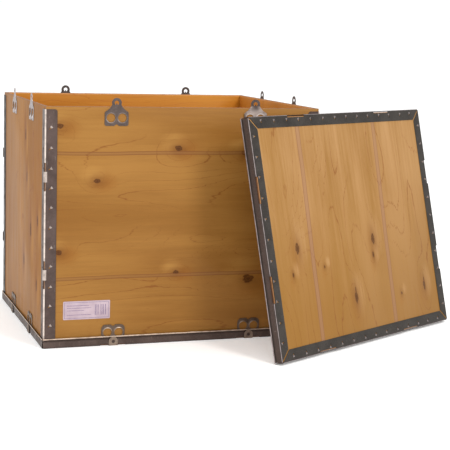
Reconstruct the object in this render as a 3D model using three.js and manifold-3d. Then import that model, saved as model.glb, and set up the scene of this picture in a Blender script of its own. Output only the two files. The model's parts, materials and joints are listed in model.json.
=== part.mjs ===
// A collapsible shipping crate of thin plywood with clinched steel profiles.
// Four hinged walls make a sleeve, which stands in a shallow base tray. An equal tray is the lid.
// The lid is off: it stands on the floor and leans on the sleeve's front right corner.
// Millimetres, +Z up, front towards -Y, origin at the centre of the base's underside.
import * as THREE from 'three';
import { mergeVertices } from 'three/addons/utils/BufferGeometryUtils.js';
import Module from 'manifold-3d';

const wasm = await Module();
wasm.setup();

// Overall sizes
const TRAY_LENGTH = 590; // base and lid over their lips, along X
const TRAY_WIDTH = 489; // the same along Y
const CLOSED_HEIGHT = 495; // underside of the base to the top of the lid when closed
const PLY = 6; // plywood thickness
const STEEL = 0.8; // thickness of every steel strip and tongue
const GAP = 0.3; // clearance between pieces that rest on each other
const CUT_PAST = 1; // how far a cutting body runs past what it cuts

// Steel rims of the two trays
const RIM_HEIGHT = 20;
const FLANGE_WIDTH = 25; // flange on the outer face of the panel
const LIP_HEIGHT = 3.5; // free edge, rolled outwards
const LIP_FLARE = 1;
const RIM_FOLD = 2; // outer radius of the fold
const MITRE_GAP = 3; // opening between two rims at a corner
const PRESSED = 0.1; // the steel and the walls press the panel's border this far into the wood
const BORDER = 1; // how far the pressed border runs past the steel and the walls
const SLOT_LENGTH = 54; // slot in the fold for one tongue
const SLOT_INSET = 5.8; // from the lip inwards
const SLOT_HEIGHT = 3.2; // up the side flange

// Sleeve
const SLEEVE_INSET = 3; // from the lip inwards to the steel of the sleeve
const LEAF_WIDTH = 25; // corner strip on each wall
const LEAF_BELOW_TOP = 6;
const LEAF_ABOVE_FLOOR = 9;
const CORNER_FOLD = 1.6; // outer radius of the corner strip
const CORNER_RETURN = 3.6; // how far the strip turns onto the short wall
const HINGE_LEVELS = [151, 348]; // heights of the two hinge loops of a corner
const WINDOW_HEIGHT = 57; // opening in the corner fold around a loop
const LOOP_HEIGHT = 21;
const LOOP_RADIUS = 3.6; // outside of the bulged loop
const LOOP_ARC = [110, -20]; // its ends, in degrees
const LOOP_ROOT = 8; // where a loop starts on its strip, from the corner inwards
const LOOP_RISE = 5.1; // where it leaves the strip's face
const LOOP_SET_BACK = 1.8; // its centre, from the corner inwards both ways

// Clinched teeth: small triangular holes where a tooth was driven into the wood
const TOOTH_SIZE = 3.6; // centre to corner
const TOOTH_LINE = 12; // centre line of a row, from the strip's outer edge
const TOOTH_TURN = 2.4; // radians from one tooth to the next, as each points its own way
const LONG_TEETH = { count: 14, pitch: 39.6 };
const SHORT_TEETH = { count: 11, pitch: 41 };
const CORNER_TEETH = { count: 11, pitch: 39.8 };

// Tongues, with their outline measured from the line through the two eyes
const EYE_RADIUS = 9;
const EYE_OFFSET = 11.7; // eye centre from the tongue's middle
const PLATE_HALF = 24.5;
const PLATE_FOOT = 16; // far edge, beyond the eyes
const NOTCH_HALF = 4.5;
const NOTCH_DEPTH = 3.5;
const PLATE_CORNER = 4; // rounding of its far corners
const SHOULDER = 10; // where the plate starts to taper
const SHOULDER_ROUND = 3;
const TAPER_PULL = [10, 7]; // the taper's curve at the shoulder, inwards and along
const NECK_PULL = [1, 6]; // the same at the neck
const NECK_HALF = 9.6;
const NECK_START = 24;
const HEAD_RADIUS = 10;
const HEAD_CENTRE = 29.7;
const HEAD_HOLE = 4.5;
const TOP_EYES = 22; // eye line below the top edge of the wall
const BOTTOM_EYES = 20; // eye line above the bottom edge of the wall
const BEND_ABOVE_WALL = 6.8; // where a top tongue bends, just above a closed lid
const FOOT_HEIGHT = 0.2; // a folded tongue passes just above the floor
const FOLDED_GAP = 0.3; // folded tip to the lip of the rim
const FOLDED_HEAD_CENTRE = 9.4; // height of the folded head
const FOLDED_HOLE = 3.5;

// Sticker on the front wall
const LABEL = { width: 97, height: 38, thickness: 0.25, corner: 2, along: -203, up: 76 };

// Pose of the lid: its lower lip stands on the floor, its upper lip leans on the corner strip
const LID_FOOT = [123.4, -459.4]; // left end of the lower lip
const LID_TURN = 28.2; // degrees about Z
const LID_LEAN = 13.3; // degrees back from upright

const PANEL_FACE = STEEL + GAP; // outer face of a tray's panel above the flange's outer face
const WALL_BOTTOM = PANEL_FACE + PLY + GAP;
const WALL_TOP = CLOSED_HEIGHT - WALL_BOTTOM;
const SHELL_INSET = SLEEVE_INSET + STEEL + GAP; // from the lip inwards to the plywood of the sleeve

const SIDES = [
  { name: 'front', turn: 0, reach: TRAY_WIDTH / 2, span: TRAY_LENGTH / 2, long: true },
  { name: 'right', turn: 90, reach: TRAY_LENGTH / 2, span: TRAY_WIDTH / 2, long: false },
  { name: 'back', turn: 180, reach: TRAY_WIDTH / 2, span: TRAY_LENGTH / 2, long: true },
  { name: 'left', turn: 270, reach: TRAY_LENGTH / 2, span: TRAY_WIDTH / 2, long: false },
];
const TONGUE_OFFSET = { long: 147.5, short: 98.5 }; // tongue centre from the middle of a side

const plywood = (color) => new THREE.MeshStandardMaterial({ color, roughness: 0.6, metalness: 0 });
const steel = (color) => new THREE.MeshStandardMaterial({ color, roughness: 0.42, metalness: 0.85 });

// ---- closed bodies ----------------------------------------------------------------------------

function solidOf(geometry) {
  const bare = geometry.clone();
  bare.deleteAttribute('normal');
  bare.deleteAttribute('uv');
  const merged = mergeVertices(bare, 1e-4);
  return new wasm.Manifold(new wasm.Mesh({
    numProp: 3,
    vertProperties: new Float32Array(merged.attributes.position.array),
    triVerts: new Uint32Array(merged.index.array),
  }));
}

function geometryOf(solid) {
  const mesh = solid.getMesh();
  const geometry = new THREE.BufferGeometry();
  geometry.setAttribute('position', new THREE.BufferAttribute(mesh.vertProperties, 3));
  geometry.setIndex(new THREE.BufferAttribute(mesh.triVerts, 1));
  geometry.computeVertexNormals();
  return geometry;
}

function cut(geometry, cutters) {
  const rest = cutters.reduce((body, cutter) => body.subtract(solidOf(cutter)), solidOf(geometry));
  return geometryOf(rest);
}

// ---- shapes in the frame of one side ----------------------------------------------------------
// Seen from outside: X runs to the right along the side, Y up, and Z out of the crate.

function extrude(shape, depth, curveSegments = 4) {
  return new THREE.ExtrudeGeometry(shape, { depth, bevelEnabled: false, curveSegments });
}

// A section drawn as (outward, up), run along the side.
function alongSide(shape, length) {
  return extrude(shape, length, 2).rotateY(-Math.PI / 2).translate(length / 2, 0, 0);
}

// A plan drawn as (along, outward), run upwards.
function upSide(shape, low, high) {
  return extrude(shape, high - low, 2).rotateX(Math.PI / 2).translate(0, high, 0);
}

function block(along, up, out) {
  const size = [along, up, out].map(([low, high]) => high - low);
  const middle = [along, up, out].map(([low, high]) => (low + high) / 2);
  return new THREE.BoxGeometry(...size).translate(...middle);
}

function polygon(points) {
  return new THREE.Shape(points.map(([x, y]) => new THREE.Vector2(x, y)));
}

function row({ count, pitch }) {
  return Array.from({ length: count }, (_, i) => (i - (count - 1) / 2) * pitch);
}

function toothShape(x, y, index) {
  const corners = [0, 1, 2].map((k) => {
    const angle = index * TOOTH_TURN + (k * 2 * Math.PI) / 3;
    return [x + TOOTH_SIZE * Math.cos(angle), y + TOOTH_SIZE * Math.sin(angle)];
  });
  return polygon(corners);
}

function meshOnSide(name, side, geometry, material) {
  const mesh = new THREE.Mesh(geometry, material);
  mesh.name = name;
  mesh.rotation.set(Math.PI / 2, 0, THREE.MathUtils.degToRad(side.turn), 'ZYX');
  return mesh;
}

// ---- trays ------------------------------------------------------------------------------------

// L section of a rim: flange on the panel's outer face, fold, side flange and rolled lip.
function rimSection(reach) {
  const face = reach - LIP_FLARE;
  const inner = face - STEEL;
  const fold = face - RIM_FOLD;
  const section = new THREE.Shape();
  section.moveTo(reach - FLANGE_WIDTH, 0);
  section.lineTo(fold, 0);
  section.absarc(fold, RIM_FOLD, RIM_FOLD, -Math.PI / 2, 0, false);
  section.lineTo(face, RIM_HEIGHT - LIP_HEIGHT);
  section.lineTo(reach, RIM_HEIGHT - LIP_HEIGHT / 2);
  section.lineTo(reach, RIM_HEIGHT);
  section.lineTo(reach - STEEL, RIM_HEIGHT);
  section.lineTo(reach - STEEL, RIM_HEIGHT - LIP_HEIGHT / 2 + STEEL / 2);
  section.lineTo(inner, RIM_HEIGHT - LIP_HEIGHT + STEEL / 2);
  section.lineTo(inner, RIM_FOLD);
  section.absarc(fold, RIM_FOLD, RIM_FOLD - STEEL, 0, -Math.PI / 2, true);
  section.lineTo(reach - FLANGE_WIDTH, STEEL);
  return section;
}

// Plan that mitres both ends of a rim.
function mitrePlan({ reach, span }) {
  const shy = (MITRE_GAP * Math.SQRT2) / 2;
  const [inner, outer] = [-FLANGE_WIDTH - CUT_PAST, CUT_PAST];
  const [narrow, wide] = [inner, outer].map((offset) => span + offset - shy);
  return polygon([
    [-narrow, reach + inner],
    [narrow, reach + inner],
    [wide, reach + outer],
    [-wide, reach + outer],
  ]);
}

function rimGeometry(side) {
  const { reach, span } = side;
  const bar = solidOf(alongSide(rimSection(reach), 2 * span));
  const mitred = bar.intersect(solidOf(upSide(mitrePlan(side), -CUT_PAST, RIM_HEIGHT + CUT_PAST)));
  const slots = tonguePlaces(side).map((along) => block(
    [along - SLOT_LENGTH / 2, along + SLOT_LENGTH / 2],
    [-CUT_PAST, SLOT_HEIGHT],
    [reach - SLOT_INSET, reach + CUT_PAST],
  ));
  const teeth = row(side.long ? LONG_TEETH : SHORT_TEETH).map((along, i) => (
    upSide(toothShape(along, reach - TOOTH_LINE, i), -CUT_PAST, 2 * STEEL)
  ));
  return cut(geometryOf(mitred), [...slots, ...teeth]);
}

// One layer of a panel, `inset` from the lips all round.
function layer(inset, low, high) {
  const size = [TRAY_LENGTH - 2 * inset, TRAY_WIDTH - 2 * inset, high - low];
  return new THREE.BoxGeometry(...size).translate(0, 0, (low + high) / 2);
}

// A panel is at its full thickness between the flanges outside, and between the walls inside.
function panelGeometry() {
  const inside = PANEL_FACE + PLY;
  const whole = layer(SHELL_INSET, PANEL_FACE + PRESSED, inside - PRESSED);
  const outerFace = layer(FLANGE_WIDTH + BORDER, PANEL_FACE, PANEL_FACE + PLY / 2);
  const innerFace = layer(SHELL_INSET + PLY + BORDER, PANEL_FACE + PLY / 2, inside);
  return geometryOf(solidOf(whole).add(solidOf(outerFace)).add(solidOf(innerFace)));
}

function tray(prefix, rimNames, woodMaterial, steelMaterial) {
  const group = new THREE.Group();
  const panel = new THREE.Mesh(panelGeometry(), woodMaterial);
  panel.name = `${prefix}_panel`;
  group.add(panel);
  for (const side of SIDES) {
    const name = `${prefix}_rim_${rimNames[side.name]}`;
    group.add(meshOnSide(name, side, rimGeometry(side), steelMaterial));
  }
  return group;
}

// ---- sleeve -----------------------------------------------------------------------------------

// The front and back walls run the full length, and the short walls stand between them.
function wall(side, material) {
  const half = side.long
    ? side.span - SHELL_INSET - GAP
    : side.span - SHELL_INSET - PLY - GAP;
  const face = side.reach - SHELL_INSET;
  const geometry = block([-half, half], [WALL_BOTTOM, WALL_TOP], [face - PLY, face]);
  return meshOnSide(`${side.name}_wall`, side, geometry, material);
}

function cornerTeeth(edge, face) {
  const middle = (WALL_BOTTOM + WALL_TOP) / 2;
  return row(CORNER_TEETH).map((up, i) => (
    extrude(toothShape(edge - TOOTH_LINE, middle + up, i), 2 * STEEL + CUT_PAST)
      .translate(0, 0, face - 2 * STEEL)
  ));
}

// Plan of a strip that turns round the corner, with its fold.
function foldPlan(edge, face) {
  const centre = [edge - CORNER_FOLD, face - CORNER_FOLD];
  const plan = new THREE.Shape();
  plan.moveTo(edge - LEAF_WIDTH, face);
  plan.lineTo(centre[0], face);
  plan.absarc(...centre, CORNER_FOLD, Math.PI / 2, 0, true);
  plan.lineTo(edge, face - CORNER_RETURN);
  plan.lineTo(edge - STEEL, face - CORNER_RETURN);
  plan.lineTo(edge - STEEL, centre[1]);
  plan.absarc(...centre, CORNER_FOLD - STEEL, 0, Math.PI / 2, false);
  plan.lineTo(edge - LEAF_WIDTH, face - STEEL);
  return plan;
}

// Plan of a hinge loop, bulged round the corner from the short wall to the long one.
function loopPlan(edge, face) {
  const [start, end] = LOOP_ARC.map(THREE.MathUtils.degToRad);
  const centre = [edge - LOOP_SET_BACK, face - LOOP_SET_BACK];
  const tail = [edge + GAP, face - LOOP_RADIUS - CORNER_FOLD];
  const plan = new THREE.Shape();
  plan.moveTo(edge - LOOP_ROOT, face);
  plan.lineTo(edge - LOOP_RISE, face);
  plan.absarc(...centre, LOOP_RADIUS, start, end, true);
  plan.lineTo(tail[0] + STEEL, tail[1]);
  plan.lineTo(...tail);
  plan.absarc(...centre, LOOP_RADIUS - STEEL, end, start, false);
  plan.lineTo(edge - LOOP_RISE, face - STEEL);
  plan.lineTo(edge - LOOP_ROOT, face - STEEL);
  return plan;
}

function mirrored(geometry, hand) {
  if (hand > 0) return geometry;
  const flipped = geometry.clone().scale(-1, 1, 1);
  flipped.setIndex(Array.from(flipped.index.array).reverse());
  flipped.computeVertexNormals();
  return flipped;
}

// The long wall's strip holds the fold, with a window round each loop.
function foldLeaf(side) {
  const edge = side.span - SLEEVE_INSET;
  const face = side.reach - SLEEVE_INSET;
  const strip = upSide(foldPlan(edge, face), LEAF_ABOVE_FLOOR, WALL_TOP - LEAF_BELOW_TOP);
  const windows = HINGE_LEVELS.map((level) => block(
    [edge - CORNER_FOLD - CUT_PAST, edge + CUT_PAST],
    [level - WINDOW_HEIGHT / 2, level + WINDOW_HEIGHT / 2],
    [face - CORNER_RETURN - CUT_PAST, face + CUT_PAST],
  ));
  return cut(strip, [...windows, ...cornerTeeth(edge, face)]);
}

// The short wall's strip carries the loops.
function loopLeaf(side) {
  const edge = side.span - SLEEVE_INSET;
  const face = side.reach - SLEEVE_INSET;
  const plate = block(
    [edge - LEAF_WIDTH, edge - CORNER_RETURN - GAP],
    [LEAF_ABOVE_FLOOR, WALL_TOP - LEAF_BELOW_TOP],
    [face - STEEL, face],
  );
  const pierced = solidOf(cut(plate, cornerTeeth(edge, face)));
  const loops = HINGE_LEVELS.map((level) => (
    upSide(loopPlan(edge, face), level - LOOP_HEIGHT / 2, level + LOOP_HEIGHT / 2)
  ));
  return geometryOf(loops.reduce((body, loop) => body.add(solidOf(loop)), pierced));
}

function cornerLeaves(side, material) {
  const geometry = side.long ? foldLeaf(side) : loopLeaf(side);
  return [1, -1].map((hand) => {
    const name = `${side.name}_wall_corner_strip_${handName(side, hand)}`;
    return meshOnSide(name, side, mirrored(geometry, hand), material);
  });
}

// Which end of a side lies to the right as seen from outside, named by the crate's own sides.
function handName(side, hand) {
  const next = SIDES[(SIDES.indexOf(side) + (hand > 0 ? 1 : 3)) % 4];
  return next.name;
}

// ---- tongues ----------------------------------------------------------------------------------

function tonguePlaces(side) {
  const offset = side.long ? TONGUE_OFFSET.long : TONGUE_OFFSET.short;
  return [offset, -offset];
}

// Right half of the plate from the notch to the neck. The left half mirrors it.
function plateEdge() {
  const edge = new THREE.Path();
  edge.moveTo(0, NOTCH_DEPTH - PLATE_FOOT);
  edge.lineTo(NOTCH_HALF, -PLATE_FOOT);
  edge.lineTo(PLATE_HALF - PLATE_CORNER, -PLATE_FOOT);
  edge.quadraticCurveTo(PLATE_HALF, -PLATE_FOOT, PLATE_HALF, PLATE_CORNER - PLATE_FOOT);
  edge.lineTo(PLATE_HALF, SHOULDER - SHOULDER_ROUND);
  edge.quadraticCurveTo(
    PLATE_HALF, SHOULDER,
    PLATE_HALF - SHOULDER_ROUND, SHOULDER + SHOULDER_ROUND,
  );
  edge.bezierCurveTo(
    PLATE_HALF - TAPER_PULL[0], SHOULDER + TAPER_PULL[1],
    NECK_HALF + NECK_PULL[0], NECK_START - NECK_PULL[1],
    NECK_HALF, NECK_START,
  );
  return edge.getPoints(4);
}

// Plate with two eyes; `top` lists the points that close the outline between its two neck edges.
function plateShape(top) {
  const right = plateEdge();
  const left = right.slice(1).reverse().map((p) => new THREE.Vector2(-p.x, p.y));
  const shape = new THREE.Shape([...right, ...top, ...left]);
  for (const x of [EYE_OFFSET, -EYE_OFFSET]) {
    const eye = new THREE.Path();
    eye.absarc(x, 0, EYE_RADIUS, 0, 2 * Math.PI, true);
    shape.holes.push(eye);
  }
  return shape;
}

// Points of an arc about the head's centre, from one angle to another.
function headArc(radius, from, to, steps) {
  return Array.from({ length: steps + 1 }, (_, i) => {
    const angle = from + ((to - from) * i) / steps;
    return new THREE.Vector2(radius * Math.cos(angle), HEAD_CENTRE + radius * Math.sin(angle));
  });
}

// A top tongue bends across the hole in its head, so the hole is half in the plate and half in the tip.
function topPlateShape(bend) {
  const drop = HEAD_CENTRE - (bend - GAP / 2);
  const headEdge = Math.sqrt(HEAD_RADIUS ** 2 - drop ** 2);
  const holeAngle = Math.asin(drop / HEAD_HOLE);
  const hole = headArc(HEAD_HOLE, -holeAngle, holeAngle - Math.PI, 6);
  const rightEnd = new THREE.Vector2(headEdge, bend - GAP / 2);
  const leftEnd = new THREE.Vector2(-headEdge, bend - GAP / 2);
  return plateShape([rightEnd, ...hole, leftEnd]);
}

function topTipShape(bend) {
  const drop = HEAD_CENTRE - (bend + GAP / 2);
  const headAngle = Math.asin(drop / HEAD_RADIUS);
  const holeAngle = Math.asin(drop / HEAD_HOLE);
  return new THREE.Shape([
    ...headArc(HEAD_RADIUS, -headAngle, Math.PI + headAngle, 10),
    ...headArc(HEAD_HOLE, Math.PI + holeAngle, -holeAngle, 8),
  ]);
}

function topTongue(side, along, name, material) {
  const eyes = WALL_TOP - TOP_EYES;
  const bend = BEND_ABOVE_WALL + TOP_EYES;
  const back = side.reach - SLEEVE_INSET - STEEL;
  const plate = extrude(topPlateShape(bend), STEEL).translate(along, eyes, back);
  const tip = extrude(topTipShape(bend), STEEL).translate(along, eyes, back);
  return [
    meshOnSide(name, side, plate, material),
    meshOnSide(`${name}_tip`, side, tip, material),
  ];
}

// A bottom tongue passes down behind the rim, and its foot comes out of the slot under the fold.
function bottomPlate(side, along) {
  const eyes = WALL_BOTTOM + BOTTOM_EYES;
  const back = side.reach - SLEEVE_INSET - STEEL;
  const neckEnd = eyes - FOOT_HEIGHT;
  const ends = [new THREE.Vector2(NECK_HALF, neckEnd), new THREE.Vector2(-NECK_HALF, neckEnd)];
  const plate = extrude(plateShape(ends), STEEL).rotateZ(Math.PI).translate(along, eyes, back);
  const foot = block(
    [along - NECK_HALF, along + NECK_HALF],
    [FOOT_HEIGHT, FOOT_HEIGHT + STEEL],
    [back + STEEL / 2, side.reach],
  );
  return geometryOf(solidOf(plate).add(solidOf(foot)));
}

// Its tip is folded up against the outside of the rim.
function bottomTip(side, along) {
  const shape = new THREE.Shape();
  shape.moveTo(-NECK_HALF, FOOT_HEIGHT);
  shape.lineTo(NECK_HALF, FOOT_HEIGHT);
  shape.absarc(0, FOLDED_HEAD_CENTRE, NECK_HALF, 0, Math.PI, false);
  const hole = new THREE.Path();
  hole.absarc(0, FOLDED_HEAD_CENTRE, FOLDED_HOLE, 0, 2 * Math.PI, true);
  shape.holes.push(hole);
  return extrude(shape, STEEL, 5).translate(along, 0, side.reach + FOLDED_GAP);
}

function bottomTongue(side, along, name, material) {
  return [
    meshOnSide(name, side, bottomPlate(side, along), material),
    meshOnSide(`${name}_tip`, side, bottomTip(side, along), material),
  ];
}

function tongues(side, material) {
  return tonguePlaces(side).flatMap((along) => {
    const end = handName(side, along);
    return [
      ...topTongue(side, along, `${side.name}_wall_top_tongue_${end}`, material),
      ...bottomTongue(side, along, `${side.name}_wall_bottom_tongue_${end}`, material),
    ];
  });
}

function label(side, material) {
  const { width, height, thickness, corner, along, up } = LABEL;
  const [w, h] = [width / 2, height / 2];
  const shape = new THREE.Shape();
  shape.moveTo(corner - w, -h);
  shape.lineTo(w - corner, -h);
  shape.quadraticCurveTo(w, -h, w, corner - h);
  shape.lineTo(w, h - corner);
  shape.quadraticCurveTo(w, h, w - corner, h);
  shape.lineTo(corner - w, h);
  shape.quadraticCurveTo(-w, h, -w, h - corner);
  shape.lineTo(-w, corner - h);
  shape.quadraticCurveTo(-w, -h, corner - w, -h);
  const face = side.reach - SHELL_INSET + GAP;
  const sticker = extrude(shape, thickness, 3).translate(along, up, face);
  return meshOnSide('label', side, sticker, material);
}

// ---- the crate --------------------------------------------------------------------------------

function sleeve() {
  const group = new THREE.Group();
  const wood = { front: 0xb98545, back: 0xc08335, left: 0xb08868, right: 0xb5763a };
  for (const side of SIDES) {
    group.add(wall(side, plywood(wood[side.name])));
    group.add(...cornerLeaves(side, steel(0x6f6460)));
    group.add(...tongues(side, steel(0x8c8080)));
  }
  const sticker = new THREE.MeshStandardMaterial({ color: 0xc4a9a6, roughness: 0.5, metalness: 0 });
  group.add(label(SIDES[0], sticker));
  return group;
}

function leaningLid() {
  const names = { front: 'upper', right: 'right', back: 'lower', left: 'left' };
  const lid = tray('lid', names, plywood(0xc3965f), steel(0x4d504b));
  lid.position.set(TRAY_LENGTH / 2, -TRAY_WIDTH / 2, -RIM_HEIGHT);
  const lean = new THREE.Group();
  lean.rotation.x = -THREE.MathUtils.degToRad(90 + LID_LEAN);
  lean.add(lid);
  const stand = new THREE.Group();
  stand.rotation.z = THREE.MathUtils.degToRad(LID_TURN);
  stand.position.set(...LID_FOOT, 0);
  stand.add(lean);
  return stand;
}

const baseNames = { front: 'front', right: 'right', back: 'back', left: 'left' };
const crate = new THREE.Group();
crate.add(tray('base', baseNames, plywood(0xb98a52), steel(0x5e5450)));
crate.add(sleeve());
crate.add(leaningLid());

export default crate;
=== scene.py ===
import json
import math
import random

import bmesh
import bpy
from mathutils import Matrix, Vector
from mathutils.geometry import delaunay_2d_cdt


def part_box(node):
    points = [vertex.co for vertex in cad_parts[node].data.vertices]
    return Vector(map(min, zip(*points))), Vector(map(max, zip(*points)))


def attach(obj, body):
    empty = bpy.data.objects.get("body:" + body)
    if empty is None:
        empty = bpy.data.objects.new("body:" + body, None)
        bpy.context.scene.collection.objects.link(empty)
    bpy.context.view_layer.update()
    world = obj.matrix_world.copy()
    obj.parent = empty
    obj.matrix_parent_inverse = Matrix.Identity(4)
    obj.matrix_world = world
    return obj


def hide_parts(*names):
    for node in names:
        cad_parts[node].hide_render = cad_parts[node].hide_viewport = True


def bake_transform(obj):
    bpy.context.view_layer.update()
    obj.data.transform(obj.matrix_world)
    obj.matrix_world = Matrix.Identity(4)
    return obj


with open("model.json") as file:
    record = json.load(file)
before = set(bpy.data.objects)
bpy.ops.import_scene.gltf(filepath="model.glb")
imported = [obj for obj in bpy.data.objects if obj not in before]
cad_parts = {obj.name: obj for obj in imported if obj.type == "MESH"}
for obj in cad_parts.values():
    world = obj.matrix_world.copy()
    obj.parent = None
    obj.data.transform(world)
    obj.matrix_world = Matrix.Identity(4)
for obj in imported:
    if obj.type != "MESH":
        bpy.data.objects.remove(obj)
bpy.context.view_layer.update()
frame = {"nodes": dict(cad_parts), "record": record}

RECORD = frame["record"]
MM = 0.001

# ---- camera, floor and light ----

CAMERA_PLACE = (-0.7808, -2.6963, 0.6491)
CAMERA_TURNS = (19.50, 8.84, 1.79)  # degrees to the right of +Y, below the horizon, rolled
CAMERA_LENS, SENSOR, CLIP_END = 101.26, 36.0, 50

FLOOR_REACH = 12
FLOOR_TONES = (0.9, 0.9, 0.9), (0.93, 0.93, 0.93)
FLOOR_GLOW = 0.22  # keeps the shadows on the floor faint
WORLD_STRENGTH = 1.02
LIGHT_COLOUR = (1, 0.98, 0.95)
LIGHTS = (  # name, place, target, size, power
    ("key", (-1.2, -2.8, 3.2), (0.1, 0, 0.2), 2.0, 32),
    ("fill", (1.1, -2.8, 2.3), (0.2, 0, 0.2), 0.9, 50),
)


def placed(name, data, matrix=Matrix()):
    made = bpy.data.objects.new(name, data)
    made.matrix_world = matrix
    bpy.context.collection.objects.link(made)
    return made


def add_camera():
    turn, down, roll = (math.radians(angle) for angle in CAMERA_TURNS)
    level = Vector((math.sin(turn), math.cos(turn), 0))
    forward = level * math.cos(down) - Vector((0, 0, math.sin(down)))
    right = Vector((math.cos(turn), -math.sin(turn), 0))
    up = right.cross(forward)
    rolled_right = right * math.cos(roll) + up * math.sin(roll)
    rolled_up = up * math.cos(roll) - right * math.sin(roll)
    data = bpy.data.cameras.new("camera")
    data.lens = CAMERA_LENS
    data.sensor_width = SENSOR
    data.clip_end = CLIP_END
    turned = Matrix((rolled_right, rolled_up, -forward)).transposed().to_4x4()
    matrix = Matrix.Translation(CAMERA_PLACE) @ turned
    bpy.context.scene.camera = placed("camera", data, matrix)


def add_area(name, place, target, size, power):
    data = bpy.data.lights.new(name, "AREA")
    data.shape = "DISK"
    data.size = size
    data.energy = power
    data.color = LIGHT_COLOUR
    aim = (Vector(target) - Vector(place)).to_track_quat("-Z", "Y")
    placed(name, data, Matrix.Translation(place) @ aim.to_matrix().to_4x4())


def add_floor():
    mesh = bpy.data.meshes.new("floor")
    far = FLOOR_REACH
    corners = [(-far, -far, 0), (far, -far, 0), (far, far, 0), (-far, far, 0)]
    mesh.from_pydata(corners, [], [range(4)])
    nodes = Nodes("floor")
    grain = nodes.noise(nodes.coordinates(), 3, 2)
    nodes.finish(
        colour=nodes.blend(grain, *FLOOR_TONES), roughness=0.8,
        Emission_Color=(1, 1, 1, 1), Emission_Strength=FLOOR_GLOW,
    )
    mesh.materials.append(nodes.material)
    floor = placed("floor", mesh)


def add_world():
    world = bpy.data.worlds.new("studio")
    world.use_nodes = True
    background = world.node_tree.nodes["Background"]
    background.inputs["Color"].default_value = (1, 1, 1, 1)
    background.inputs["Strength"].default_value = WORLD_STRENGTH
    bpy.context.scene.world = world
    bpy.context.scene.view_settings.view_transform = "Standard"


# ---- material nodes ----


def rgb(red, green, blue):
    """A colour of 0 to 255 on the screen, as linear values."""
    return tuple(
        c / 12.92 if c <= 0.04045 else ((c + 0.055) / 1.055) ** 2.4
        for c in (red / 255, green / 255, blue / 255)
    )


def tinted(colour, red, green, blue):
    return tuple(min(1, c * k) for c, k in zip(colour, (red, green, blue)))


def shaded(colour, strength):
    return tinted(colour, strength, strength, strength)


MIX_COLOURS = (6, 7)  # the Mix node's colour inputs and result
MIX_RESULT = 2


class Nodes:
    def __init__(self, name):
        self.material = bpy.data.materials.new(name)
        self.material.use_nodes = True
        self.tree = self.material.node_tree
        self.shader = self.tree.nodes["Principled BSDF"]

    def set(self, socket, value):
        if isinstance(value, bpy.types.NodeSocket):
            self.tree.links.new(value, socket)
        elif isinstance(value, (int, float)):
            socket.default_value = value
        else:
            filled = tuple(value) + (1,) * (len(socket.default_value) - len(value))
            socket.default_value = filled

    def node(self, kind, inputs=(), output=0, **settings):
        node = self.tree.nodes.new(kind)
        for key, value in settings.items():
            setattr(node, key, value)
        for key, value in dict(inputs).items():
            self.set(node.inputs[key], value)
        return node.outputs[output]

    def coordinates(self):
        return self.node("ShaderNodeTexCoord", output="Object")

    def attribute(self, name):
        return self.node("ShaderNodeAttribute", output="Fac", attribute_name=name)

    def math(self, operation, *values, clamp=False):
        return self.node("ShaderNodeMath", enumerate(values), operation=operation, use_clamp=clamp)

    def plus(self, a, b):
        return self.math("ADD", a, b)

    def minus(self, a, b):
        return self.math("SUBTRACT", a, b)

    def times(self, a, b, clamp=False):
        return self.math("MULTIPLY", a, b, clamp=clamp)

    def most(self, a, b):
        return self.math("MAXIMUM", a, b)

    def combined(self, **axes):
        return self.node("ShaderNodeCombineXYZ", axes)

    def vector(self, operation, *values, output=0):
        return self.node("ShaderNodeVectorMath", enumerate(values), output, operation=operation)

    def axis(self, vector, name):
        return self.node("ShaderNodeSeparateXYZ", {0: vector}, name)

    def scaled(self, vector, *scale):
        return self.vector("MULTIPLY", vector, scale)

    def noise(self, vector, scale, detail=3, rough=0.5, distortion=0.0):
        inputs = {"Vector": vector, "Scale": scale, "Detail": detail, "Roughness": rough}
        return self.node("ShaderNodeTexNoise", inputs | {"Distortion": distortion})

    def ramp(self, value, low, high, to_low=0.0, to_high=1.0):
        """A smooth step of value from low to high."""
        ends = {"From Min": low, "From Max": high, "To Min": to_low, "To Max": to_high}
        inputs = {"Value": value} | ends
        return self.node("ShaderNodeMapRange", inputs, interpolation_type="SMOOTHSTEP")

    def blend(self, factor, a, b):
        """Colour a where the factor is 0, b where it is 1."""
        node = self.tree.nodes.new("ShaderNodeMix")
        node.data_type = "RGBA"
        self.set(node.inputs["Factor"], factor)
        first, second = (node.inputs[i] for i in MIX_COLOURS)
        self.set(first, a)
        self.set(second, b)
        return node.outputs[MIX_RESULT]

    def bump(self, height, distance, strength=1.0):
        inputs = {"Height": height, "Distance": distance, "Strength": strength}
        return self.node("ShaderNodeBump", inputs)

    def finish(self, colour, roughness, height=None, depth=0.0001, **same):
        self.set(self.shader.inputs["Base Color"], colour)
        self.set(self.shader.inputs["Roughness"], roughness)
        if height is not None:
            self.set(self.shader.inputs["Normal"], self.bump(height, depth))
        for key, value in same.items():
            self.shader.inputs[key.replace("_", " ")].default_value = value
        return self.material


# ---- wood ----

PALE_SIDE = (0.009, -0.012, 0)  # from a knot's pale side and deep side to the knot, in metres
DEEP_SIDE = (-0.014, 0.004, 0)
SEED_SHIFT = (0.37, 0.53, 0.11)
WAVER, RAGGED = 0.006, 1.5
FAR = 50  # knot radii: nowhere near a knot

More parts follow.
